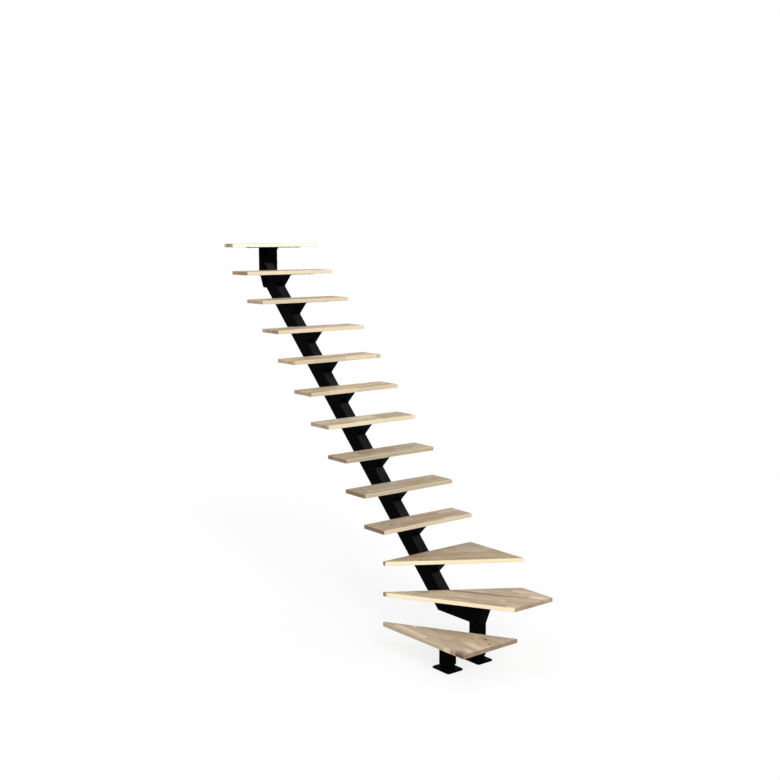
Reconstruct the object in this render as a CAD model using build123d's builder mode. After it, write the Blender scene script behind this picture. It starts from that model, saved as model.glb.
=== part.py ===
from build123d import *
from math import atan2, cos, radians, sin, tan
import os

# Quarter turn staircase on one steel spine.
# Thirteen laminated wood treads lie on steel supports along the middle of the stair. Three
# winders take the quarter turn at the bottom, nine straight treads follow, and the narrow top
# tread lies level with the upper floor.
# Millimetres. The origin is on the floor, in the middle of the main post's base plate. +Y is
# the way the straight flight climbs, +X runs along its treads and +Z is up.

# Steps
step_count = 13
winder_count = 3
riser = 211.0
going = 210.0
tread_length = 800.0
tread_depth = 221.0
top_tread_depth = 122.0
tread_thickness = 28.0
tread_chamfer = 2.0

# Winders: their noses fan out from the inner corner of the turn. The angles are measured from the
# entry side to the nose of tread 2, and from the nose of tread 3 to the nose of tread 4. Each tread
# runs on under the next one, and its narrow end is cut short.
nose_2_angle = 29.2
nose_3_angle = 33.4
lap_under_2 = 28.0
lap_under_3 = 15.0
tip_width = 22.0
tip_overhang = 5.0

# Spine: a rectangular tube, laid under the line of the noses
spine_width = 80.0
spine_depth = 121.0
spine_wall = 4.0
spine_corner = 2.0
spine_drop = 270.5
end_cap_thickness = 4.0
post_setback = 100.0

# Tread supports: a folded bracket on the spine, as wide as it, with a flat plate on it
bracket_wall = 4.0
bracket_fold = 2.0
bracket_setback = 54.0
winder_bracket_setback = 44.0
top_bracket_setback = 27.0
plate_length = 530.0
plate_depth = 140.0
plate_taper = 40.0
plate_thickness = 5.0
plate_corner_cut = 12.0
winder_plate_margin = 30.0
third_plate_start = 140.0
second_plate_depth = 400.0
packer_length = 160.0
packer_height = 10.0
screw_hole = 6.0
screw_inset = 18.0

# Posts: a square sleeve over a foot tube, on a base plate bolted to the floor
sleeve_width = 80.0
post_wall = 5.0
post_corner = 2.0
slide_clearance = 0.5
sleeve_lift = 34.0
foot_tube_length = 120.0
first_post_inset = 135.0
link_depth = 80.0
base_width = 134.0
base_depth = 166.0
base_thickness = 8.0
base_corner_cut = 10.0
anchor_hole = 11.0
anchor_spacing_x = 92.0
anchor_spacing_y = 124.0

# Fixing plate on the edge of the upper floor
fixing_width = 170.0
fixing_foot_width = 94.0
fixing_height = 326.0
fixing_taper_height = 137.0
fixing_thickness = 8.0
fixing_corner_cut = 8.0
fixing_bolt_spacing_x = 128.0
fixing_bolt_spacing_z = 130.0
fixing_bolt_drop = 35.0

# Lines and corners that the pieces share
slope = atan2(riser, going)
half_slope = slope / 2
into_spine = Vector(0, sin(slope), -cos(slope))
side_x = tread_length / 2
entry_x = -side_x
flight_start = side_x + post_setback
outer_y = flight_start - tread_length
nose_2_x = entry_x + tread_length * tan(radians(nose_2_angle))
nose_3_y = flight_start - tread_length * tan(radians(nose_3_angle))
tread_lap = tread_depth - going
arrival_y = flight_start + (step_count - winder_count - 1) * going + top_tread_depth
fixing_front_y = arrival_y - fixing_thickness
first_post_x = entry_x + first_post_inset
foot_beam_top = 2 * riser - tread_thickness - plate_thickness - packer_height
foot_beam_bottom = foot_beam_top - spine_depth
third_plate_width = plate_length / 2 - entry_x - third_plate_start

os.makedirs("parts", exist_ok=True)


def nose_y(number):
    """Y of the nose of a tread of the straight flight."""
    return flight_start + (number - winder_count - 1) * going


def plate_underside(number):
    """Height of the underside of a tread's support plate."""
    return number * riser - tread_thickness - plate_thickness


def spine_top(y):
    """Height of the spine's upper face."""
    return (winder_count + 1) * riser + (y - flight_start) * riser / going - spine_drop


def spine_y(z):
    """Y at which the spine's upper face has a height."""
    return flight_start + (z + spine_drop - (winder_count + 1) * riser) * going / riser


def tube_section(plane, width, depth, wall, corner):
    """Section of a rectangular tube with rounded outer corners, middle on the plane's origin."""
    with BuildSketch(plane) as section:
        RectangleRounded(width, depth, corner)
        Rectangle(width - 2 * wall, depth - 2 * wall, mode=Mode.SUBTRACT)
    return section.sketch


# Treads of the straight flight: boards with broken edges
for number in range(winder_count + 1, step_count + 1):
    board_depth = top_tread_depth if number == step_count else tread_depth
    with BuildPart() as tread:
        with BuildSketch(Plane.XY.offset(number * riser - tread_thickness)):
            with Locations((0, nose_y(number) + board_depth / 2)):
                Rectangle(tread_length, board_depth)
        extrude(amount=tread_thickness)
        chamfer(tread.edges(), length=tread_chamfer)
    tread.part.label = f"tread_{number:02d}"
    export_step(tread.part, f"parts/tread_{number:02d}.step")

# Winders: each outline starts at the narrow end by the inner corner and runs round against the
# clock, along its nose first
winder_outlines = {
    1: [
        (entry_x - 2 * tip_overhang, flight_start - tip_overhang / 2),
        (entry_x, outer_y),
        (nose_2_x + lap_under_2, outer_y),
        (entry_x + tip_overhang, flight_start + tread_lap),
    ],
    2: [
        (entry_x - tip_overhang, flight_start + tip_overhang - tip_width),
        (nose_2_x, outer_y),
        (side_x, outer_y),
        (side_x, nose_3_y + lap_under_3),
        (entry_x - tip_overhang, flight_start + tip_overhang),
    ],
    3: [
        (entry_x, flight_start + tread_lap - tip_width),
        (side_x, nose_3_y),
        (side_x, flight_start + tread_lap),
        (entry_x, flight_start + tread_lap),
    ],
}
for number, outline in winder_outlines.items():
    with BuildPart() as winder:
        with BuildSketch(Plane.XY.offset(number * riser - tread_thickness)):
            with BuildLine():
                Polyline(outline, close=True)
            make_face()
        extrude(amount=tread_thickness)
        chamfer(winder.edges(), length=tread_chamfer)
    winder.part.label = f"tread_{number:02d}"
    export_step(winder.part, f"parts/tread_{number:02d}.step")


def drilled_plate(number, outline):
    """Support plate of an outline, with its corners cut and a screw hole in each of them."""
    hole_corners = offset(outline, amount=-screw_inset).vertices()
    with BuildSketch(Plane.XY.offset(plate_underside(number))) as plate:
        add(outline)
        chamfer(plate.vertices(), length=plate_corner_cut)
        with Locations(*[(corner.X, corner.Y) for corner in hole_corners]):
            Circle(screw_hole / 2, mode=Mode.SUBTRACT)
    return plate.sketch


def straight_plate(number, front_y, depth):
    """Support plate of a straight tread: its ends draw in towards the back."""
    back_y = front_y + depth
    front_x = plate_length / 2
    back_x = front_x - depth * tan(radians(plate_taper))
    with BuildSketch() as outline:
        with BuildLine():
            Polyline(
                (-front_x, front_y), (front_x, front_y), (back_x, back_y), (-back_x, back_y), close=True
            )
        make_face()
    return drilled_plate(number, outline.sketch)


def winder_plate(number, middle, width, depth):
    """Support plate of a winder: its tread's outline drawn in, cut to a window on its support."""
    with BuildSketch() as outline:
        with BuildLine():
            Polyline(winder_outlines[number], close=True)
        make_face()
        offset(amount=-winder_plate_margin, kind=Kind.INTERSECTION)
        with Locations(middle):
            Rectangle(width, depth, mode=Mode.INTERSECT)
    return drilled_plate(number, outline.sketch)


def bracket_outline(front_y, back_y, top):
    """Side view of a bracket: its front stands square on the spine, its back is upright."""
    rise = top - spine_top(front_y)
    toe_y = front_y + rise * cos(slope) * sin(slope)
    return [
        (front_y, top),
        (toe_y, spine_top(toe_y)),
        (back_y, spine_top(back_y)),
        (back_y, top),
    ]


# Supports of tread 3 and the straight treads: an open folded bracket welded to the spine, under
# a flat plate that the tread is screwed to from below
for number in range(winder_count, step_count):
    setback = winder_bracket_setback if number == winder_count else bracket_setback
    front_y = nose_y(number) + setback
    underside = plate_underside(number)
    if number == winder_count:
        plate_middle = ((plate_length - third_plate_width) / 2, front_y)
        plate_face = winder_plate(number, plate_middle, third_plate_width, tread_length)
    else:
        plate_face = straight_plate(number, front_y, plate_depth)
    with BuildPart() as support:
        with BuildSketch(Plane.YZ):
            with BuildLine():
                Polyline(bracket_outline(front_y, front_y + plate_depth, underside), close=True)
            make_face()
        extrude(amount=spine_width / 2, both=True)
        front_face = support.faces().sort_by(Axis.Y)[0]
        fillet(front_face.edges().filter_by(Axis.X, reverse=True), radius=bracket_fold)
        seat = support.faces().sort_by(Axis.Z)[-1]
        weld_face = support.faces().filter_by(lambda face: face.normal_at().dot(into_spine) > 0.999)
        offset(amount=-bracket_wall, openings=[seat, *weld_face])
        extrude(plate_face, amount=plate_thickness)
    support.part.label = f"tread_support_{number:02d}"
    export_step(support.part, f"parts/tread_support_{number:02d}.step")

# Support of the top tread: its bracket stands on the fixing plate instead of the spine
top_front_y = nose_y(step_count) + top_bracket_setback
top_depth = fixing_front_y - top_front_y
top_underside = plate_underside(step_count)
with BuildPart() as top_support:
    with BuildSketch(Plane.YZ):
        with BuildLine():
            Polyline(
                (top_front_y, top_underside),
                (fixing_front_y, top_underside - top_depth * going / riser),
                (fixing_front_y, top_underside),
                close=True,
            )
        make_face()
    extrude(amount=spine_width / 2, both=True)
    front_face = top_support.faces().sort_by(Axis.Y)[0]
    fillet(front_face.edges().filter_by(Axis.X, reverse=True), radius=bracket_fold)
    seat = top_support.faces().sort_by(Axis.Z)[-1]
    weld_face = top_support.faces().sort_by(Axis.Y)[-1]
    offset(amount=-bracket_wall, openings=[seat, weld_face])
    extrude(straight_plate(step_count, top_front_y, top_depth), amount=plate_thickness)
top_support.part.label = f"tread_support_{step_count:02d}"
export_step(top_support.part, f"parts/tread_support_{step_count:02d}.step")

# Support of tread 2: its plate lies on a flat packer on the foot beam
with BuildPart() as second_support:
    with BuildSketch(Plane.XY.offset(foot_beam_top)):
        Rectangle(spine_width, packer_length)
    extrude(amount=packer_height)
    extrude(winder_plate(2, (0, 0), plate_length, second_plate_depth), amount=plate_thickness)
second_support.part.label = "tread_support_02"
export_step(second_support.part, "parts/tread_support_02.step")

# Support of tread 1: its plate lies on the first post and the link between the posts
with BuildPart() as first_support:
    extrude(winder_plate(1, (first_post_x, 0), tread_length, plate_length), amount=plate_thickness)
first_support.part.label = "tread_support_01"
export_step(first_support.part, "parts/tread_support_01.step")

# Spine: its lower end is mitred to the foot beam, its upper end is cut plumb on the fixing plate
knee_y = spine_y(foot_beam_bottom + spine_depth / cos(slope))
knee_mitre = Plane(
    (0, knee_y, foot_beam_bottom), x_dir=(1, 0, 0), z_dir=(0, cos(half_slope), sin(half_slope))
)
plumb_cut = Plane((0, fixing_front_y, 0), x_dir=(1, 0, 0), z_dir=(0, 1, 0))
spine_start_y = knee_y - spine_depth
spine_start = Plane(
    (0, spine_start_y, spine_top(spine_start_y) - spine_depth / 2 / cos(slope)),
    x_dir=(1, 0, 0),
    z_dir=(0, cos(slope), sin(slope)),
)
spine_length = (fixing_front_y + spine_depth - spine_start_y) / cos(slope)
with BuildPart() as spine_tube:
    extrude(
        tube_section(spine_start, spine_width, spine_depth, spine_wall, spine_corner),
        amount=spine_length,
    )
    split(bisect_by=knee_mitre, keep=Keep.TOP)
    split(bisect_by=plumb_cut, keep=Keep.BOTTOM)
spine_tube.part.label = "spine_tube"
export_step(spine_tube.part, "parts/spine_tube.step")

# Foot beam: the level end of the spine. Its far end rises forward from the main post's front face
# and is closed by a cap
cap_normal = Vector(0, -cos(half_slope), -sin(half_slope))
cap_reach = end_cap_thickness / cos(half_slope)
beam_end = Plane(
    (0, cap_reach - sleeve_width / 2, foot_beam_bottom), x_dir=(1, 0, 0), z_dir=cap_normal
)
beam_start = Plane(
    (0, -sleeve_width - spine_depth, foot_beam_bottom + spine_depth / 2),
    x_dir=(1, 0, 0),
    z_dir=(0, 1, 0),
)
beam_length = knee_y + sleeve_width + 2 * spine_depth
with BuildPart() as foot_beam:
    extrude(
        tube_section(beam_start, spine_width, spine_depth, spine_wall, spine_corner),
        amount=beam_length,
    )
    split(bisect_by=knee_mitre, keep=Keep.BOTTOM)
    split(bisect_by=beam_end, keep=Keep.BOTTOM)
foot_beam.part.label = "foot_beam"
export_step(foot_beam.part, "parts/foot_beam.step")

with BuildPart() as spine_end_cap:
    with BuildSketch(beam_start):
        RectangleRounded(spine_width, spine_depth, spine_corner)
    extrude(amount=beam_length)
    split(bisect_by=beam_end, keep=Keep.TOP)
    split(bisect_by=beam_end.offset(end_cap_thickness), keep=Keep.BOTTOM)
spine_end_cap.part.label = "spine_end_cap"
export_step(spine_end_cap.part, "parts/spine_end_cap.step")

# Posts: each sleeve slides over a foot tube, which is welded to a base plate
foot_width = sleeve_width - 2 * post_wall - 2 * slide_clearance
posts = {"main": (0, foot_beam_bottom), "first": (first_post_x, plate_underside(1))}
for name, (post_x, post_top) in posts.items():
    sleeve_end = Plane((post_x, 0, sleeve_lift))
    with BuildPart() as sleeve:
        extrude(
            tube_section(sleeve_end, sleeve_width, sleeve_width, post_wall, post_corner),
            amount=post_top - sleeve_lift,
        )
    sleeve.part.label = f"post_sleeve_{name}"
    export_step(sleeve.part, f"parts/post_sleeve_{name}.step")

    foot_seat = Plane((post_x, 0, base_thickness))
    with BuildPart() as foot_tube:
        extrude(
            tube_section(foot_seat, foot_width, foot_width, post_wall, post_corner),
            amount=foot_tube_length,
        )
    foot_tube.part.label = f"foot_tube_{name}"
    export_step(foot_tube.part, f"parts/foot_tube_{name}.step")

    with BuildPart() as base_plate:
        with BuildSketch() as outline:
            with Locations((post_x, 0)):
                Rectangle(base_width, base_depth)
                chamfer(outline.vertices(), length=base_corner_cut)
                with GridLocations(anchor_spacing_x, anchor_spacing_y, 2, 2):
                    Circle(anchor_hole / 2, mode=Mode.SUBTRACT)
        extrude(amount=base_thickness)
    base_plate.part.label = f"base_plate_{name}"
    export_step(base_plate.part, f"parts/base_plate_{name}.step")

# Link between the posts, under tread 1
link_start = Plane(
    (first_post_x + sleeve_width / 2, 0, plate_underside(1) - link_depth / 2),
    x_dir=(0, 1, 0),
    z_dir=(1, 0, 0),
)
with BuildPart() as post_link:
    extrude(
        tube_section(link_start, sleeve_width, link_depth, post_wall, post_corner),
        amount=-first_post_x - sleeve_width,
    )
post_link.part.label = "post_link"
export_step(post_link.part, "parts/post_link.step")

# Fixing plate: it carries the upper end of the spine and is bolted to the edge of the upper floor
fixing_top = top_underside + plate_thickness
fixing_bottom = fixing_top - fixing_height
with BuildPart() as fixing_plate:
    with BuildSketch(Plane((0, arrival_y, 0), x_dir=(1, 0, 0), z_dir=(0, -1, 0))):
        with BuildLine():
            Polyline(
                (-fixing_foot_width / 2, fixing_bottom),
                (fixing_foot_width / 2, fixing_bottom),
                (fixing_width / 2, fixing_bottom + fixing_taper_height),
                (fixing_width / 2, fixing_top),
                (-fixing_width / 2, fixing_top),
                (-fixing_width / 2, fixing_bottom + fixing_taper_height),
                close=True,
            )
        make_face()
        chamfer(vertices(), length=fixing_corner_cut)
        with Locations((0, fixing_top - fixing_bolt_drop - fixing_bolt_spacing_z / 2)):
            with GridLocations(fixing_bolt_spacing_x, fixing_bolt_spacing_z, 2, 2):
                Circle(anchor_hole / 2, mode=Mode.SUBTRACT)
    extrude(amount=fixing_thickness)
fixing_plate.part.label = "fixing_plate"
export_step(fixing_plate.part, "parts/fixing_plate.step")
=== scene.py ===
# %% [markdown]
# # A quarter turn staircase on one steel spine
# Thirteen treads of laminated wood climb 2.74 m. Three winders take the quarter turn at the foot,
# nine straight treads follow, and a narrow top tread meets the upper floor. One black steel tube
# runs under the middle of the stair, with a folded bracket and a flat plate under every tread.
# The solids come from the packed CAD model. This lesson gives them their finish, adds the screws,
# the bolts and the welds, and sets up the light and the camera.

# %% Load the packed model as a fixed frame
from math import atan2, cos, pi, radians, sin
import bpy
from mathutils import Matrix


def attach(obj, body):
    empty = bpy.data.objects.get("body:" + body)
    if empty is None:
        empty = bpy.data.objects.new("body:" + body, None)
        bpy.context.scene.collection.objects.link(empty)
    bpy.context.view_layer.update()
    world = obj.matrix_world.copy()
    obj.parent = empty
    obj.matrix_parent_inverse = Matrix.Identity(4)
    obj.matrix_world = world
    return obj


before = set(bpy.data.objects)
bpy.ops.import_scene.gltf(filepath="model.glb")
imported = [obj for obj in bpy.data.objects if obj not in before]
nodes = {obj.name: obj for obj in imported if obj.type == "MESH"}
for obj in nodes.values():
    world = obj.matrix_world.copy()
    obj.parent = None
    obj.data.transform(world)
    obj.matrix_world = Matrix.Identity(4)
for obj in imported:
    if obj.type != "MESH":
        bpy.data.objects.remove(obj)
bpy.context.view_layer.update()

from types import SimpleNamespace

import bmesh
import bpy
from mathutils import Vector

# %% [markdown]
# ## The camera
# The photograph is a level view from the left of the flight, a little above the top tread. Its
# place and its focal length were worked out from the corners of the treads. A camera in Blender
# looks down its own -Z, so it is tipped up by a quarter turn, less the angle it looks down by, and
# then turned towards the stair. Both turns are given as Euler angles, which read well for a level
# camera. No shift is needed, so the other views keep the stair in the middle.

# %% Set up the camera
image_width = 780
focal_pixels = 1158.34
look_down = radians(7.808)
look_right = radians(38.664)

lens = bpy.data.cameras.new("camera")
lens.sensor_width = 36.0
lens.lens = focal_pixels * lens.sensor_width / image_width
camera = bpy.data.objects.new("camera", lens)
camera.location = (-5.10266, -5.44234, 2.84001)
camera.rotation_euler = (pi / 2 - look_down, 0.0, -look_right)
scene = bpy.context.scene
scene.collection.objects.link(camera)
scene.camera = camera
scene.view_settings.view_transform = "Standard"
print(f"lens {lens.lens:.2f} mm")

# %% [markdown]
# ## Sums that write shader nodes
# A procedural material is a small calculation at every point of a surface. Wiring dozens of Math
# nodes by hand is slow to write and hard to read, so this class wraps an output socket and lets
# Python's own signs add the nodes: `1 - mask` becomes a Subtract node. Every other kind of node
# comes from one method, which sets its options first and its sockets after them.


# %% A socket that can be reckoned with
class Socket:
    """An output socket of a node tree. Arithmetic on it adds Math nodes."""

    def __init__(self, tree, output=None):
        self.tree = tree
        self.output = output

    def node(self, kind, settings=None, inputs=None, output=0):
        """Adds a node: its settings, then the values or links of its sockets."""
        made = self.tree.nodes.new(kind)
        for name, value in (settings or {}).items():
            setattr(made, name, value)
        for name, value in (inputs or {}).items():
            if isinstance(value, Socket):
                self.tree.links.new(value.output, made.inputs[name])
            else:
                made.inputs[name].default_value = value
        return Socket(self.tree, made.outputs[output] if made.outputs else None)

    def sibling(self, name):
        """Another output of the same node."""
        return Socket(self.tree, self.output.node.outputs[name])

    def math(self, operation, *others):
        values = dict(enumerate((self, *others)))
        return self.node("ShaderNodeMath", {"operation": operation}, values)

    def __add__(self, other):
        return self.math("ADD", other)

    __radd__ = __add__

    def __sub__(self, other):
        return self.math("SUBTRACT", other)

    def __rsub__(self, other):
        return self.node("ShaderNodeMath", {"operation": "SUBTRACT"}, {0: other, 1: self})

    def __mul__(self, other):
        return self.math("MULTIPLY", other)

    __rmul__ = __mul__

    def __truediv__(self, other):
        return self.math("DIVIDE", other)

    def __abs__(self):
        return self.math("ABSOLUTE")

    def step(self, low, high):
        """A soft step: 0 up to low, 1 from high on. With high below low it falls instead."""
        rising = low < high
        ends = {"To Min": 0.0, "To Max": 1.0} if rising else {"To Min": 1.0, "To Max": 0.0}
        span = {"From Min": min(low, high), "From Max": max(low, high)}
        settings = {"interpolation_type": "SMOOTHSTEP"}
        return self.node("ShaderNodeMapRange", settings, {"Value": self, **span, **ends})

    def split(self):
        """The X, Y and Z of a vector."""
        x = self.node("ShaderNodeSeparateXYZ", inputs={"Vector": self})
        return x, x.sibling("Y"), x.sibling("Z")

    def vector(self, *values):
        return self.node("ShaderNodeCombineXYZ", inputs=dict(enumerate(values)))

    def dot(self, direction):
        """How far this vector points along a direction."""
        values = {0: self, 1: direction}
        return self.node("ShaderNodeVectorMath", {"operation": "DOT_PRODUCT"}, values, "Value")

    def scaled(self, factor):
        """This vector times a number."""
        values = {0: self, "Scale": factor}
        return self.node("ShaderNodeVectorMath", {"operation": "SCALE"}, values)

    def bump(self, strength, distance):
        """The normal of a surface that stands this high above its mesh."""
        values = {"Strength": strength, "Distance": distance, "Height": self}
        return self.node("ShaderNodeBump", inputs=values)

    def blend(self, first, second):
        """Goes from the first colour to the second as this value goes from 0 to 1."""
        return self.node("ShaderNodeMix", {"data_type": "RGBA"}, {0: self, 6: first, 7: second}, 2)

    def noise(self, detail=2.0, roughness=0.5):
        """A smooth noise about 0.5 at this place. Its features are one unit of the place wide."""
        values = {"Vector": self, "Scale": 1.0, "Detail": detail, "Roughness": roughness}
        return self.node("ShaderNodeTexNoise", {"noise_dimensions": "3D"}, values)

    def chance(self):
        """Three random numbers that stay the same wherever this vector does."""
        settings = {"noise_dimensions": "3D"}
        drawn = self.node("ShaderNodeTexWhiteNoise", settings, {"Vector": self}, "Color")
        return drawn.split()


print("a Socket has", sum(callable(value) for value in vars(Socket).values()), "methods")

# %% [markdown]
# ## Three helpers for materials
# Colours are picked from a screen, whose numbers bend light. Blender mixes light in linear
# numbers, so each colour is straightened first. The other two helpers open and close a material.


# %% Helpers for materials
def colour(red, green, blue):
    """A screen colour from 0 to 255 as the linear colour that Blender's sockets take."""
    shares = [value / 255 for value in (red, green, blue)]
    linear = [s / 12.92 if s <= 0.04045 else ((s + 0.055) / 1.055) ** 2.4 for s in shares]
    return (*linear, 1.0)


def new_tree(material):
    """An empty node tree for a material, as a socket to start from."""
    material.use_nodes = True
    material.node_tree.nodes.clear()
    return Socket(material.node_tree)


def finish_surface(start, inputs):
    """Feeds a Principled shader and links it to the material's output."""
    shader = start.node("ShaderNodeBsdfPrincipled", inputs=inputs)
    start.node("ShaderNodeOutputMaterial", inputs={"Surface": shader})


print("white is", colour(255, 255, 255))

# %% [markdown]
# ## Light, background and floor
# The photograph has the even light of a studio and a plain white ground. A sun lamp with a wide
# angle acts as a large softbox far away: every tread gets the same light, and shadows are soft.
# It comes from the front left, so the front edges are the brightest faces. The world fills the
# rest. Together they give a level face about the light of 1, at which a colour renders as written.
#
# White is a matter of what the camera sees, not of more light: the world and the floor look at the
# kind of ray that asks. Camera, glossy and transmission rays get white, and all others get the
# plain light. Near the stair the floor keeps some of its own shading, and with it the shadow.

# %% Light the studio
sky_level = 0.60
key_level = 0.80
key_from = Vector((-0.32, -0.84, 0.52))
key_width = radians(30)

key = bpy.data.lights.new("key", "SUN")
key.energy = key_level * pi
key.angle = key_width
key_lamp = bpy.data.objects.new("key", key)
key_lamp.rotation_euler = key_from.to_track_quat("Z", "Y").to_euler()
scene.collection.objects.link(key_lamp)


def seen_directly(start):
    """1 for camera, glossy and transmission rays, 0 for all others."""
    seen = start.node("ShaderNodeLightPath", output="Is Camera Ray")
    shiny = seen.sibling("Is Glossy Ray").math("MAXIMUM", seen.sibling("Is Transmission Ray"))
    return seen.math("MAXIMUM", shiny)


world = bpy.data.worlds.new("studio")
scene.world = world
world.use_nodes = True
world.node_tree.nodes.clear()
start = Socket(world.node_tree)
strength = sky_level + (1 - sky_level) * seen_directly(start)
sky = start.node("ShaderNodeBackground", inputs={"Color": (1, 1, 1, 1), "Strength": strength})
start.node("ShaderNodeOutputWorld", inputs={"Surface": sky})
print(f"a level face gets {sky_level + key_level * key_from.normalized().z:.2f}")

# %% Lay the floor
floor_radius = 60.0
shadow_share = 0.20
fade_from, fade_to = 2.5, 7.0

ring = bmesh.new()
bmesh.ops.create_circle(ring, cap_ends=True, segments=64, radius=floor_radius)
floor_mesh = bpy.data.meshes.new("floor")
ring.to_mesh(floor_mesh)
ring.free()
floor = bpy.data.objects.new("floor", floor_mesh)
scene.collection.objects.link(floor)

floor_paint = bpy.data.materials.new("floor_paint")
start = new_tree(floor_paint)
place = start.node("ShaderNodeTexCoord", output="Object")
away = place.node(
    "ShaderNodeVectorMath", {"operation": "DISTANCE"}, {0: place, 1: (0.0, 1.0, 0.0)}, "Value"
)
direct = seen_directly(start)
shade = direct.blend(colour(232, 232, 232), (1, 1, 1, 1))
own = start.node("ShaderNodeBsdfDiffuse", inputs={"Color": shade})
glow = start.node("ShaderNodeEmission", inputs={"Color": (1, 1, 1, 1), "Strength": 1.0})
share = direct * (1 - shadow_share * away.step(fade_to, fade_from))
surface = start.node("ShaderNodeMixShader", inputs={0: share, 1: own, 2: glow})
start.node("ShaderNodeOutputMaterial", inputs={"Surface": surface})
floor_mesh.materials.append(floor_paint)
print(f"floor of {len(floor_mesh.polygons)} face")

# %% [markdown]
# ## Black powder coat
# The steel is blasted and powder coated in a satin black. A coat like this is never quite flat:
# the powder melts into a fine orange peel and the gloss wanders a little. Faces that slope up,
# such as the top of the spine, get a painted sheen, a lighter grey that stands in for the light
# they catch, and are a little rougher there. Level faces, which lie under the treads, get almost
# none. Two noises, one coarse and one a millimetre wide, drive the roughness and the bump, and the
# upward part of the normal places the painted sheen. The object's own coordinates place the
# pattern, so that it stays with the steel in every view.

# %% Mix the powder coat
powder_coat = bpy.data.materials.new("black_powder_coat")
start = new_tree(powder_coat)
place = start.node("ShaderNodeTexCoord", output="Object")
facing = place.sibling("Normal").split()[2]
peel = place.scaled(700.0).noise(1.0)
clouds = place.scaled(9.0).noise(4.0, 0.6)
# painted sheen: a lighter grey on faces that slope up, such as the top of the spine, stands in for
# the light they catch; level faces get almost none
painted_sheen = facing.step(0.45, 0.65) * (1 - 0.92 * facing.step(0.75, 0.95))
painted_sheen = painted_sheen * (0.55 + 0.45 * clouds.step(0.35, 0.65))
black = clouds.blend(colour(2, 2, 3), colour(5, 5, 6))
black_with_painted_sheen = (painted_sheen * 0.8).blend(black, colour(38, 38, 39))
finish_surface(
    start,
    {
        "Base Color": black_with_painted_sheen,
        "Roughness": 0.40 + 0.16 * clouds + 0.08 * peel + 0.12 * painted_sheen,
        "Specular IOR Level": 0.008,
        "Normal": peel.bump(0.25, 0.0004),
    },
)
print(f"powder coat of {len(powder_coat.node_tree.nodes)} nodes")

# %% [markdown]
# ## Zinc and blackened steel for the fasteners
# The screws under the treads are zinc plated: bright, a little blue, and blotchy where the bath
# ran off. The anchors and the bolts are blackened to go with the frame. Both are the same recipe
# with other numbers, so one function makes them.


# %% Mix the metals
def metal(name, pale, dark, smooth, rough):
    """A plated or blackened metal that is blotchy on the scale of a screw head."""
    material = bpy.data.materials.new(name)
    start = new_tree(material)
    place = start.node("ShaderNodeTexCoord", output="Object")
    blotch = place.scaled(160.0).noise(3.0, 0.6).step(0.3, 0.7)
    grit = place.scaled(2400.0).noise(1.0)
    finish_surface(
        start,
        {
            "Base Color": blotch.blend(pale, dark),
            "Metallic": 1.0,
            "Roughness": smooth + (rough - smooth) * blotch + 0.06 * grit,
            "Normal": grit.bump(0.2, 0.0001),
        },
    )
    return material


zinc = metal("zinc_plate", colour(196, 199, 203), colour(158, 160, 160), 0.25, 0.42)
blackened = metal("blackened_steel", colour(24, 24, 24), colour(12, 12, 13), 0.42, 0.60)
print("metals:", zinc.name, blackened.name)

# %% [markdown]
# ## Laminated wood: the boards
# Each tread is glued up from staves about 45 mm wide. A stave is itself made of short pieces,
# finger jointed end to end, and every piece comes from another board: some are paler, some
# pinkish, some grey green, and their grain runs at its own slant. The material rebuilds that order
# instead of painting stripes. It turns the coordinates so that one runs along the staves, numbers
# the staves and the pieces with Floor, and draws random numbers for every piece.

# %% Cut the staves into pieces
shortest_piece, piece_spread = 0.24, 0.12
finger_pitch, finger_length = 0.008, 0.014


def cut_pieces(place, corner, turn, stave, seed):
    """Where a point lies in its stave and its piece, with random draws for that piece."""
    flat = place.node(
        "ShaderNodeMapping",
        {"vector_type": "TEXTURE"},
        {"Vector": place, "Location": corner, "Rotation": (0.0, 0.0, turn)},
    )
    along, across, up = flat.split()
    row = (across / stave).math("FLOOR")
    in_row = across - row * stave - stave / 2
    row_draw = place.vector(row, seed, 0.5).chance()
    finger = abs((across / finger_pitch).math("FRACT") - 0.5) * finger_length
    length = shortest_piece + piece_spread * row_draw[1]
    run = (along + finger) / length + 9.0 * row_draw[0]
    block = run.math("FLOOR")
    red, green, blue = place.vector(row, block, seed).chance()
    glow, slant, depth = place.vector(block, row, seed + 0.5).chance()

    glue = (stave / 2 - abs(in_row)).step(0.0012, 0.0002)
    from_middle = abs(run.math("FRACT") - 0.5) * length
    butt = (length / 2 - from_middle).step(0.0010, 0.0002)
    return SimpleNamespace(
        along=along, across=across, up=up, in_row=in_row, joint=glue.math("MAXIMUM", butt),
        red=red, green=green, blue=blue, glow=glow, slant=slant, depth=depth,
    )


print(f"pieces are {shortest_piece} m to {shortest_piece + piece_spread} m long")

# %% [markdown]
# ## Laminated wood: the grain
# The grain is solid: for every piece the distance from an imagined pith gives growth rings, so
# the same rings show as long stripes on top and as arcs on the ends. Fine streaks, wide ones and
# short dark pores are noises that are drawn out along the grain, from a place of their own in
# every piece, so that no streak runs on across a joint.


# %% Grow the grain
def drawn_out(piece, lengthwise, crosswise, shift):
    """A place for a noise that follows the grain and starts anew in every piece."""
    across, up = piece.across * crosswise, piece.up * crosswise
    return piece.up.vector(piece.along * lengthwise + shift, across, up)


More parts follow.
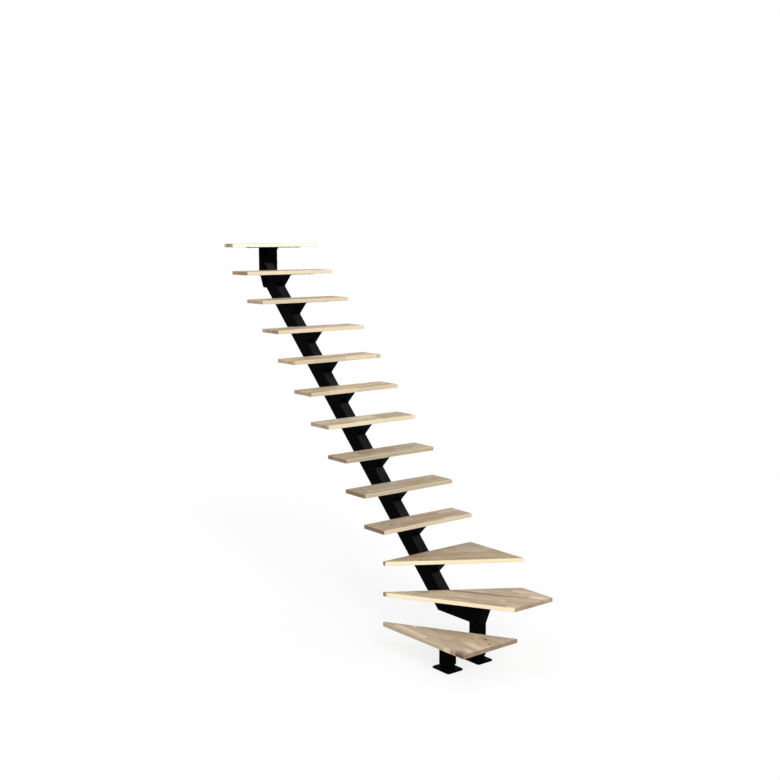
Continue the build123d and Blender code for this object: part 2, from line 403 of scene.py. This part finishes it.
def grow_grain(piece):
    """The rings, streaks and pores of a piece, each from 0 to 1."""
    pith_across = piece.in_row + (piece.red - 0.5) * 0.16
    pith_across = pith_across + piece.along * (piece.slant - 0.5) * 0.07
    pith_up = piece.up + 0.012 + 0.075 * piece.depth
    pith_up = pith_up + piece.along * (piece.glow - 0.5) * 0.09
    wander = drawn_out(piece, 3.0, 16.0, piece.blue * 40.0).noise(2.0)
    reach = (pith_across * pith_across + pith_up * pith_up).math("SQRT") + 0.012 * wander
    ring = (reach / (0.0028 + 0.0022 * piece.green)).math("FRACT")
    return SimpleNamespace(
        rings=ring.step(0.0, 0.8) * ring.step(1.0, 0.86),
        streak=drawn_out(piece, 5.0, 150.0, piece.red * 60.0).noise(4.0, 0.65),
        wide_streak=drawn_out(piece, 2.2, 42.0, piece.glow * 50.0).noise(3.0),
        pore=drawn_out(piece, 70.0, 1100.0, piece.green * 90.0).noise(1.0).step(0.60, 0.72),
        cloud=drawn_out(piece, 14.0, 34.0, piece.red * 30.0).noise(2.0),
    )


def find_faces(normal, turn):
    """How much a face is end grain, a broken edge or a long side of its board."""
    level = abs(normal.split()[2])
    end_grain = abs(normal.dot((cos(turn), sin(turn), 0.0))).step(0.25, 0.60)
    arris = level.step(0.3, 0.6) * level.step(0.95, 0.8)
    long_side = abs(normal.dot((-sin(turn), cos(turn), 0.0))).step(0.90, 0.98)
    return end_grain, arris, level.step(0.75, 0.3) * long_side


def flat_distance(place, x, y, turn, stretch):
    """Distance from a spot, seen from above, drawn out along the grain."""
    local = place.node(
        "ShaderNodeMapping",
        {"vector_type": "TEXTURE"},
        {
            "Vector": place,
            "Location": (x, y, 0.0),
            "Rotation": (0.0, 0.0, turn),
            "Scale": (stretch, 1.0, 1.0e6),
        },
    )
    return local.node("ShaderNodeVectorMath", {"operation": "LENGTH"}, {0: local}, "Value")


print("the grain is ready")

# %% [markdown]
# ## Laminated wood: the colour
# The colour is laid in layers, each a mask and a tint: first the tints of the pieces, which their
# draws choose, then streaks, rings, pores and joints, a painted highlight on the long sides of the
# board, the knots and dark heartwood at given places, and the broken corners, which are paler
# partly from wear and partly from a painted highlight. Wood drinks at its ends, so the end grain
# is darker and duller. One function makes the finish of any tread. What differs is how the board
# lies, its tone and its look.


# %% Colour the wood
def laminated_wood(name, board, tone, look):
    """The wood of one tread. A board is its corner, its turn, its stave width and its seed."""
    material = bpy.data.materials.new(name)
    start = new_tree(material)
    place = start.node("ShaderNodeTexCoord", output="Object")
    turn = board[1]
    piece = cut_pieces(place, *board)
    grain = grow_grain(piece)
    end_grain, arris, side = find_faces(place.sibling("Normal"), turn)

    pale, deep = tone
    shade = (0.72 * piece.glow + 1.3 * (grain.cloud - 0.5) + look["lift"]).blend(deep, pale)
    layers = [
        (piece.green.step(0.45, 0.95) * look["pink"], colour(190, 154, 138)),
        (piece.blue.step(0.45, 0.95) * look["olive"], colour(170, 160, 118)),
        (piece.red.step(0.55, 0.95) * look["grey"], colour(163, 158, 146)),
        (piece.slant.step(0.60, 1.0) * look["brown"], colour(158, 124, 92)),
        (grain.wide_streak.step(0.50, 0.78) * look["streaks"], colour(128, 100, 74)),
        (grain.streak.step(0.42, 0.75) * 0.45, colour(150, 124, 95)),
        (grain.streak.step(0.52, 0.30) * 0.32, colour(226, 210, 182)),
        (grain.rings * (0.22 + 0.25 * end_grain), colour(148, 120, 90)),
        (grain.pore * 0.40, colour(112, 88, 64)),
        (piece.joint * 0.45, colour(104, 80, 56)),
        # painted highlight: the long sides of each board, which face the light at the front, are
        # lightened towards a pale cream
        (side * look["edge"], look["edge_highlight_tint"]),
    ]
    for x, y, width, stretch, strength in look["marks"]:
        near = flat_distance(place, x, y, turn, stretch)
        near = near + (grain.streak - 0.5) * width * 0.6
        halo, heart = near.step(width * 1.8, width * 0.9), near.step(width, width * 0.5)
        layers.append((halo * strength * 0.5, colour(134, 102, 74)))
        layers.append((heart * strength, colour(78, 52, 36)))
    # the broken corners are lightened partly as wear and partly as a painted highlight
    layers.append((arris * 0.50, colour(240, 226, 198)))
    layers.append((end_grain * look["ends"], colour(104, 88, 68)))
    for mask, tint in layers:
        shade = mask.blend(shade, tint)

    height = 0.35 * grain.rings + 0.5 * grain.streak - 1.0 * grain.pore - 0.8 * piece.joint
    finish_surface(
        start,
        {
            "Base Color": shade,
            "Roughness": 0.50 + 0.10 * grain.streak + 0.14 * grain.pore + 0.16 * end_grain,
            "Specular IOR Level": 0.35,
            "Normal": height.bump(0.35, 0.0003),
        },
    )
    return material


print("the wood is ready to be mixed for each tread")

# %% [markdown]
# ## A finish for every tread
# The staves of the straight treads run along them, from the corner of the nose. Those of treads 2
# and 3 follow their noses, and those of tread 1 the entry edge. The corner that a tread measures
# from puts the first glue line exactly one stave behind its front edge, as in a glued up board.
#
# The photograph shows that the boards differ, so each tread has a tone, which is its palest and
# its darkest wood, and a look. The first four numbers of a look say how strong a tint its chosen
# pieces take. `lift` makes the whole board paler, `edge` says how strongly a highlight is painted
# on its long sides, in the pale tint given with it, and `ends` darkens the end grain. A mark is a
# knot or a streak of heartwood: its place, its width, how far it is drawn out along the grain, and
# its strength.

# %% Choose the boards
warm = (colour(224, 207, 180), colour(145, 123, 95))
light = (colour(250, 232, 203), colour(184, 161, 130))
bright = (colour(255, 244, 212), colour(214, 190, 152))
golden = (colour(255, 236, 194), colour(206, 175, 131))
chalky = (colour(255, 250, 228), colour(206, 196, 166))
grey = (colour(206, 188, 156), colour(148, 130, 102))
rosy = (colour(248, 229, 200), colour(206, 181, 149))
tones = {1: rosy, 2: rosy, 3: grey, 4: warm, 5: warm, 6: warm}
tones.update({7: bright, 8: golden, 9: golden, 13: chalky})

# `edge` and the pale tint beside it paint a highlight on the long sides of each board
usual_look = {
    "pink": 0.60, "olive": 0.62, "grey": 0.62, "brown": 0.62,
    "streaks": 0.55, "lift": 0.14, "edge_highlight_tint": colour(244, 230, 196), "marks": [],
}
looks = {
    1: {"pink": 0.40, "olive": 0.60, "grey": 0.45, "brown": 0.4, "edge": 0.04, "ends": 0.78},
    2: {"olive": 0.25, "grey": 0.30, "brown": 0.45, "edge": 0.82, "ends": 0.60},
    3: {"pink": 0.15, "streaks": 0.30, "edge": 0.74, "ends": 0.80},
    4: {"pink": 0.75, "grey": 0.80, "brown": 0.85, "edge": 0.42, "ends": 0.80},
    5: {"edge": 0.24, "ends": 0.75},
    6: {"edge": 0.13, "ends": 0.62},
    7: {"lift": 0.60, "edge": 0.54, "ends": 0.37},
    8: {"lift": 0.30, "edge": 0.34, "ends": 0.27},
    9: {"lift": 0.55, "edge": 0.34, "ends": 0.12},
    10: {"lift": 0.34, "edge": 0.54, "ends": 0.42},
    11: {"lift": -0.26, "edge": 0.49, "ends": 0.0},
    12: {"lift": -0.22, "edge": 0.64, "ends": 0.43},
    13: {"edge": 0.85, "edge_highlight_tint": colour(244, 243, 221), "ends": 0.32},
}
knot, heart_line = 1.7, 24.0
looks[1]["marks"] = [
    (-0.096, -0.177, 0.009, knot, 0.9),
    (-0.141, -0.259, 0.008, knot, 0.8),
    (-0.408, -0.192, 0.017, 1.2, 0.45),
    (-0.409, -0.262, 0.034, 1.6, 0.92),
]
looks[2]["marks"] = [
    (0.120, 0.010, 0.010, heart_line, 0.60),
    (0.235, -0.150, 0.006, heart_line, 0.50),
    (-0.412, 0.488, 0.022, 1.0, 0.60),
]
looks[3]["marks"] = [(0.350, 0.330, 0.008, knot, 0.5)]
looks[4]["marks"] = [(-0.259, 0.600, 0.006, knot, 0.8), (-0.342, 0.559, 0.005, knot, 0.7)]
print(len(looks), "boards")

# %% Finish the treads and the frame
riser, going, flight_start = 0.211, 0.210, 0.500
half_width = 0.400
winder_boards = {
    1: ((-half_width, -0.300, 0.0), pi / 2, 0.047),
    2: ((-0.405, 0.483, 0.0), atan2(-0.783, 0.4521), 0.047),
    3: ((-half_width, 0.489, 0.0), atan2(-0.5165, 0.800), 0.046),
}
for number in range(1, 14):
    name = f"tread_{number:02d}"
    if number in winder_boards:
        board = winder_boards[number]
    else:
        corner = (-half_width, flight_start + (number - 4) * going, 0.0)
        board = (corner, 0.0, 0.0442 if number < 13 else 0.0407)
    look = {**usual_look, **looks[number]}
    wood = laminated_wood(f"wood_{name}", (*board, number * 3.7), tones.get(number, light), look)
    for slot in nodes[name].material_slots:
        slot.material = wood
for name, node in nodes.items():
    if "tread_support" in name or not name.startswith("tread"):
        for slot in node.material_slots:
            slot.material = powder_coat
print(len(bpy.data.materials), "materials")

# %% [markdown]
# ## Running a Geometry Nodes tree
# Screws, bolts and welds repeat dozens of times, so each kind is a node tree that grows the whole
# set from a few bare points or lines. The helper gives the tree its sizes by the identifiers of
# its inputs, because a modifier doesn't know their names, reads the evaluated result as a plain
# mesh, and takes the modifier off again. What is left needs no tree to be exported.


# %% Helpers for Geometry Nodes
def geometry_tree(name, inputs):
    """A new tree that takes a geometry and named inputs, as its start and its group input."""
    tree = bpy.data.node_groups.new(name, "GeometryNodeTree")
    tree.interface.new_socket("Geometry", in_out="INPUT", socket_type="NodeSocketGeometry")
    for title, kind in inputs:
        tree.interface.new_socket(title, in_out="INPUT", socket_type="NodeSocket" + kind)
    tree.interface.new_socket("Geometry", in_out="OUTPUT", socket_type="NodeSocketGeometry")
    return Socket(tree).node("NodeGroupInput", output="Geometry")


def close_tree(result, material):
    """Realizes what the tree made, gives it its material and links it to the output."""
    real = result.node("GeometryNodeRealizeInstances", inputs={"Geometry": result})
    painted = real.node("GeometryNodeSetMaterial", inputs={"Geometry": real, "Material": material})
    painted.node("NodeGroupOutput", inputs={"Geometry": painted})


def grow(name, mesh, tree, values):
    """Runs a tree on a mesh and returns the result as a plain object."""
    piece = bpy.data.objects.new(name, mesh)
    scene.collection.objects.link(piece)
    modifier = piece.modifiers.new("grow", "NODES")
    modifier.node_group = tree
    for item in tree.interface.items_tree:
        if item.in_out == "INPUT" and item.name in values:
            modifier[item.identifier] = values[item.name]
    depsgraph = bpy.context.evaluated_depsgraph_get()
    result = bpy.data.meshes.new_from_object(piece.evaluated_get(depsgraph), depsgraph=depsgraph)
    piece.modifiers.remove(modifier)
    piece.data = result
    result.name = name
    print(f"{name}: {len(result.polygons)} faces")
    return piece


def settle(piece):
    """The piece is attached to the stair's one body."""
    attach(piece, "root")


print("helpers are ready")

# %% [markdown]
# ## One fastener of each kind
# A bolt, a nut or a screw head is a turned shape with flats or a socket cut into it. A lathe
# function stacks rings on the Z axis, from the seat up, and closes both ends. Each ring has a
# radius, a height and a shape: round, a hexagon for spanner flats, or a six lobed star for the
# socket of a wood screw. Twenty-four sides carry all three, and keep one fastener light.

# %% Build the lathe
sides = 24


def ring_radius(radius, shape, angle):
    if shape == "hexagon":
        return radius * cos(radians(30)) / cos((angle % (pi / 3)) - pi / 6)
    if shape == "star":
        return radius * (0.86 + 0.14 * cos(6 * angle))
    return radius


def turned(name, rings):
    """A closed turned shape. Each ring is its radius, its height and its shape."""
    work = bmesh.new()
    loops = []
    for radius, height, shape in rings:
        loop = []
        for step in range(sides):
            angle = 2 * pi * step / sides
            r = ring_radius(radius, shape, angle)
            loop.append(work.verts.new((r * cos(angle), r * sin(angle), height)))
        loops.append(loop)
    for low, high in zip(loops, loops[1:]):
        for step in range(sides):
            after = (step + 1) % sides
            work.faces.new((low[step], low[after], high[after], high[step]))
    work.faces.new(reversed(loops[0]))
    work.faces.new(loops[-1])
    mesh = bpy.data.meshes.new(name)
    work.to_mesh(mesh)
    work.free()
    return bpy.data.objects.new(name, mesh)


print(f"the lathe turns shapes of {sides} sides")

# %% [markdown]
# ## Three turned shapes
# The wood screw has a pan head with a star socket. The hex bolt stands on its washer. The clamp
# screw is a cap screw with a hexagon socket. Their rings are given in millimetres.

# %% Turn the fasteners
mm = 0.001
wood_screw = turned("wood_screw", [
    (5.2 * mm, 0.0, "round"),
    (5.5 * mm, 0.6 * mm, "round"),
    (5.2 * mm, 1.8 * mm, "round"),
    (4.2 * mm, 2.9 * mm, "round"),
    (3.0 * mm, 3.3 * mm, "round"),
    (2.5 * mm, 3.3 * mm, "star"),
    (2.3 * mm, 1.6 * mm, "star"),
    (0.6 * mm, 1.3 * mm, "round"),
])
washer = [
    (10.0 * mm, 0.0, "round"),
    (10.5 * mm, 0.4 * mm, "round"),
    (10.5 * mm, 1.6 * mm, "round"),
    (10.0 * mm, 2.0 * mm, "round"),
]
hex_bolt = turned("hex_bolt", washer + [
    (8.4 * mm, 2.0 * mm, "round"),
    (9.6 * mm, 2.6 * mm, "hexagon"),
    (9.6 * mm, 7.6 * mm, "hexagon"),
    (8.3 * mm, 8.4 * mm, "round"),
    (7.2 * mm, 8.5 * mm, "round"),
])
clamp_screw = turned("clamp_screw", [
    (7.4 * mm, 0.0, "round"),
    (7.8 * mm, 0.6 * mm, "round"),
    (7.8 * mm, 6.6 * mm, "round"),
    (7.0 * mm, 7.6 * mm, "round"),
    (4.2 * mm, 7.6 * mm, "hexagon"),
    (4.0 * mm, 3.2 * mm, "hexagon"),
])
print("a bolt has", len(hex_bolt.data.polygons), "faces")

# %% [markdown]
# ## Setting the fasteners
# The tree takes bare points. Each of them carries the direction that its head faces, as a named
# attribute, and the tree stands the fastener on it, turned by a random angle: nobody lines up the
# slots of screws. The seed is fixed, so the angles are the same in every render.

# %% Build the fastener tree
start = geometry_tree("set_fasteners", [
    ("Fastener", "Object"),
    ("Size", "Float"),
    ("Seed", "Int"),
    ("Finish", "Material"),
])
shape = start.node(
    "GeometryNodeObjectInfo", inputs={"Object": start.sibling("Fastener")}, output="Geometry"
)
facing = start.node(
    "GeometryNodeInputNamedAttribute", {"data_type": "FLOAT_VECTOR"}, {"Name": "facing"}
)
upright = facing.node("FunctionNodeAlignRotationToVector", {"axis": "Z"}, {"Vector": facing})
spin = start.node(
    "FunctionNodeRandomValue",
    {"data_type": "FLOAT"},
    {2: 0.0, 3: 2 * pi, "Seed": start.sibling("Seed")},
    1,
)
twist = spin.node("FunctionNodeAxisAngleToRotation", inputs={"Axis": (0, 0, 1), "Angle": spin})
standing = upright.node(
    "FunctionNodeRotateRotation",
    {"rotation_space": "LOCAL"},
    {"Rotation": upright, "Rotate By": twist},
)
size = start.sibling("Size")
placed = start.node(
    "GeometryNodeInstanceOnPoints",
    inputs={
        "Points": start,
        "Instance": shape,
        "Rotation": standing,
        "Scale": start.vector(size, size, size),
    },
)
close_tree(placed, start.sibling("Finish"))
fastener_tree = start.tree
print(len(fastener_tree.nodes), "nodes set the fasteners")


# %% Set fasteners at given places
def set_fasteners(name, places, fastener, finish, seed):
    """Sets one fastener at each place. A place is a point and the way its head faces."""
    mesh = bpy.data.meshes.new(name + "_points")
    mesh.from_pydata([point for point, _ in places], [], [])
    facings = mesh.attributes.new("facing", "FLOAT_VECTOR", "POINT")
    facings.data.foreach_set("vector", [value for _, way in places for value in way])
    values = {"Fastener": fastener, "Size": 1.0, "Seed": seed, "Finish": finish}
    piece = grow(name, mesh, fastener_tree, values)
    settle(piece)
    return piece


print("ready to set the", wood_screw.name, "and the", hex_bolt.name)

# %% [markdown]
# ## Screws under the treads
# Every tread is screwed to its plate from below, through a hole in each corner. The plates of the
# straight treads narrow towards the back, and so do their screws. The plates of the winders are
# cut to their treads, so their holes are given one by one. The heads seat on the underside of the
# plate and look down.

# %% Screw the treads down
down, up, front, back = (0, 0, -1), (0, 0, 1), (0, -1, 0), (0, 1, 0)
plate_drop = 0.033


def plate_underside(number):
    return number * riser - plate_drop


winder_screws = {
    1: [(-0.35266, -0.247), (-0.0111, -0.247), (-0.35886, 0.247), (-0.29745, 0.247)],
    2: [(0.0344, -0.182), (0.247, -0.182), (-0.17578, 0.182), (0.00868, 0.182), (0.247, 0.02879)],
    3: [(0.247, 0.12841), (-0.242, 0.44413), (-0.242, 0.463), (0.247, 0.463)],
}
screws = [
    ((x, y, plate_underside(number)), down)
    for number, spots in winder_screws.items()
    for x, y in spots
]
for number in range(4, 14):
    nose = flight_start + (number - 4) * going
    back_row = (0.1836, 0.096) if number == 13 else (0.1391, 0.176)
    front_row = (0.2264, 0.045 if number == 13 else 0.072)
    for x, inset in (front_row, back_row):
        for side in (-1, 1):
            screws.append(((side * x, nose + inset, plate_underside(number)), down))
set_fasteners("tread_screws", screws, wood_screw, zinc, 5)

# %% [markdown]
# ## Anchors, bolts and clamp screws
# Four anchors hold each base plate to the floor, and four bolts hold the fixing plate to the edge
# of the upper floor. Two cap screws at the back of each sleeve clamp it on its foot tube once the
# stair stands at the right height.

# %% Bolt the stair down
post_places = (0.0, -0.265)
base_top, anchor_x, anchor_y = 0.008, 0.046, 0.062
fixing_front, bolt_x, bolt_heights = 2.504, 0.064, (2.550, 2.680)
sleeve_back, clamp_heights = 0.040, (0.058, 0.092)

anchors = [
    ((post_x + x, y, base_top), up)
    for post_x in post_places
    for x in (-anchor_x, anchor_x)
    for y in (-anchor_y, anchor_y)
]
set_fasteners("floor_anchors", anchors, hex_bolt, blackened, 11)

bolts = [((x, fixing_front, z), front) for x in (-bolt_x, bolt_x) for z in bolt_heights]
set_fasteners("upper_floor_bolts", bolts, hex_bolt, blackened, 12)

clamps = [((post_x, sleeve_back, z), back) for post_x in post_places for z in clamp_heights]
set_fasteners("sleeve_clamp_screws", clamps, clamp_screw, blackened, 13)

# %% [markdown]
# ## Weld beads
# The frame is welded: every bracket to the spine and to its plate, the foot tubes to their base
# plates, and the spine to the fixing plate. A weld by hand is a row of ripples, each where the
# pool froze a moment later than the one before. The tree sweeps a small circle along a line and
# lets its radius swell with the length of the line, with some noise, so that the bead ripples and
# never repeats exactly.

# %% Build the weld tree
start = geometry_tree("lay_weld", [
    ("Bead Radius", "Float"),
    ("Ripple Pitch", "Float"),
    ("Ripple Depth", "Float"),
    ("Finish", "Material"),
])
radius, pitch = start.sibling("Bead Radius"), start.sibling("Ripple Pitch")
line = start.node("GeometryNodeMeshToCurve", inputs={"Mesh": start})
fine = line.node(
    "GeometryNodeResampleCurve", {"mode": "LENGTH"}, {"Curve": line, "Length": pitch / 4.0}
)
length = fine.node("GeometryNodeSplineParameter", output="Length")
swell = (length * (2 * pi) / pitch).math("SINE") * start.sibling("Ripple Depth")
place = fine.node("GeometryNodeInputPosition")
rough = place.node(
    "ShaderNodeTexNoise", inputs={"Vector": place, "Scale": 140.0, "Detail": 1.0}
)
circle = start.node(
    "GeometryNodeCurvePrimitiveCircle", {"mode": "RADIUS"}, {"Resolution": 8, "Radius": 1.0}
)
swept = fine.node(
    "GeometryNodeCurveToMesh",
    inputs={
        "Curve": fine,
        "Profile Curve": circle,
        "Scale": radius * (0.85 + swell + 0.3 * rough),
        "Fill Caps": True,
    },
)
smooth = swept.node("GeometryNodeSetShadeSmooth", inputs={"Geometry": swept})
close_tree(smooth, start.sibling("Finish"))
weld_tree = start.tree
print(len(weld_tree.nodes), "nodes lay the welds")


# %% Lay beads along given lines
def lay_welds(name, lines, radius):
    """Lays a bead along each line. A line is its points, and whether it closes on itself."""
    points, edges = [], []
    for line_points, closed in lines:
        first = len(points)
        points += line_points
        edges += [(i, i + 1) for i in range(first, len(points) - 1)]
        if closed:
            edges.append((len(points) - 1, first))
    mesh = bpy.data.meshes.new(name + "_lines")
    mesh.from_pydata(points, edges, [])
    values = {"Bead Radius": radius, "Ripple Pitch": 0.0042, "Ripple Depth": 0.12}
    piece = grow(name, mesh, weld_tree, {**values, "Finish": powder_coat})
    settle(piece)
    return piece


print("ready to weld in", powder_coat.name)

# %% [markdown]
# ## Where the welds run
# Most joints are the outline of a tube on a plate: a rectangle with rounded corners, in some
# plane. One function draws it about a middle, in two given directions. At the posts, beads join
# each foot tube to its base plate, the link tube to both sleeves, and the main sleeve to the foot
# beam that it carries.

# %% Weld the posts
x_axis, y_axis, z_axis = (1, 0, 0), (0, 1, 0), (0, 0, 1)
tube_corner = 0.002


def tube_outline(middle, across, along, width, depth):
    """Closed outline of a tube with rounded corners, in the plane of two directions."""
    points = []
    quarters = ((1, 1, 0), (-1, 1, 90), (-1, -1, 180), (1, -1, 270))
    for side_a, side_b, begin in quarters:
        for step in range(4):
            angle = radians(begin + 30 * step)
            a = side_a * (width / 2 - tube_corner) + tube_corner * cos(angle)
            b = side_b * (depth / 2 - tube_corner) + tube_corner * sin(angle)
            points.append(tuple(Vector(middle) + a * Vector(across) + b * Vector(along)))
    return points, True


foot_width, sleeve_width = 0.070, 0.080
edge, near_edge = 0.0395, 0.0380
link_x, link_top, link_foot = -0.2245, 0.176, 0.0985
post_welds = [
    tube_outline((post_x, 0, base_top), x_axis, y_axis, foot_width, foot_width)
    for post_x in post_places
]
post_welds.append(tube_outline((-0.0405, 0, 0.138), y_axis, z_axis, sleeve_width, sleeve_width))
post_welds.append(([
    (link_x, edge, link_top),
    (link_x, edge, 0.100),
    (link_x, near_edge, link_foot),
    (link_x, -near_edge, link_foot),
    (link_x, -edge, 0.100),
    (link_x, -edge, link_top),
], False))
post_welds.append(([
    (edge, -near_edge, 0.2585),
    (edge, near_edge, 0.2585),
    (near_edge, edge, 0.2580),
    (-near_edge, edge, 0.2580),
    (-edge, near_edge, 0.2585),
    (-edge, -near_edge, 0.2585),
], False))
lay_welds("post_welds", post_welds, 0.0030)

# %% [markdown]
# ## Welds on the spine
# The spine is mitred to the foot beam at its knee, closed by a cap at the other end of the beam,
# and welded to the fixing plate at its top, where a plumb cut makes its outline deeper. Two
# straight beads hold the packer of tread 2 on the beam.

# %% Weld the spine
spine_slope = atan2(riser, going)
half_slope = spine_slope / 2
spine_width, spine_depth = 0.080, 0.121
bead_inset = 0.001
mitre = (0, -sin(half_slope), cos(half_slope))
mitre_size = (spine_width - bead_inset, spine_depth / cos(half_slope) - bead_inset)
plumb_size = (spine_width, spine_depth / cos(spine_slope))
spine_welds = [
    tube_outline((0, 0.3316, 0.3185), x_axis, mitre, *mitre_size),
    tube_outline((0, -0.0608, 0.3185), x_axis, mitre, *mitre_size),
    tube_outline((0, 2.5035, 2.5008), x_axis, z_axis, *plumb_size),
]
for side in (-edge, edge):
    spine_welds.append(([(side, -0.060, 0.3785), (side, 0.080, 0.3785)], False))
lay_welds("spine_welds", spine_welds, 0.0022)

# %% [markdown]
# ## Welds on the brackets
# A bracket stands on the spine, so the bead at its foot climbs at the slope of the stair and
# turns round its corners. A second bead joins its top to the plate. The bracket of the top tread
# is joined to its plate and to the fixing plate by one bead on each side, round the corner.

# %% Weld the brackets
bracket_depth = 0.140
top_underside = 2.710


def spine_top(y):
    return 0.5735 + (y - flight_start) * riser / going


bracket_welds = []
for number in range(3, 13):
    setback = 0.044 if number == 3 else 0.054
    front_y = flight_start + (number - 4) * going + setback
    back_y = front_y + bracket_depth
    top = plate_underside(number)
    rise = top - spine_top(front_y)
    toe_y = front_y + rise * cos(spine_slope) * sin(spine_slope)
    toe, heel = spine_top(toe_y), spine_top(back_y)
    bracket_welds.append(([
        (edge, toe_y, toe),
        (edge, back_y - 0.002, heel - 0.002),
        (0.0370, back_y + 0.001, heel + 0.001),
        (-0.0370, back_y + 0.001, heel + 0.001),
        (-edge, back_y - 0.002, heel - 0.002),
        (-edge, toe_y, toe),
        (-0.0370, toe_y - 0.001, toe - 0.001),
        (0.0370, toe_y - 0.001, toe - 0.001),
    ], True))
    middle = (0, (front_y + back_y) / 2, top)
    bracket_welds.append(tube_outline(middle, x_axis, y_axis, spine_width, bracket_depth))
for x in (-0.040, 0.040):
    bracket_welds.append(([
        (x, 2.417, top_underside),
        (x, fixing_front, top_underside),
        (x, fixing_front, 2.626),
    ], False))
lay_welds("bracket_welds", bracket_welds, 0.0024)

# %% [markdown] ## The dressed stair
# The dressed stair has to stay inside the box of the CAD model, apart from a few
# millimetres.
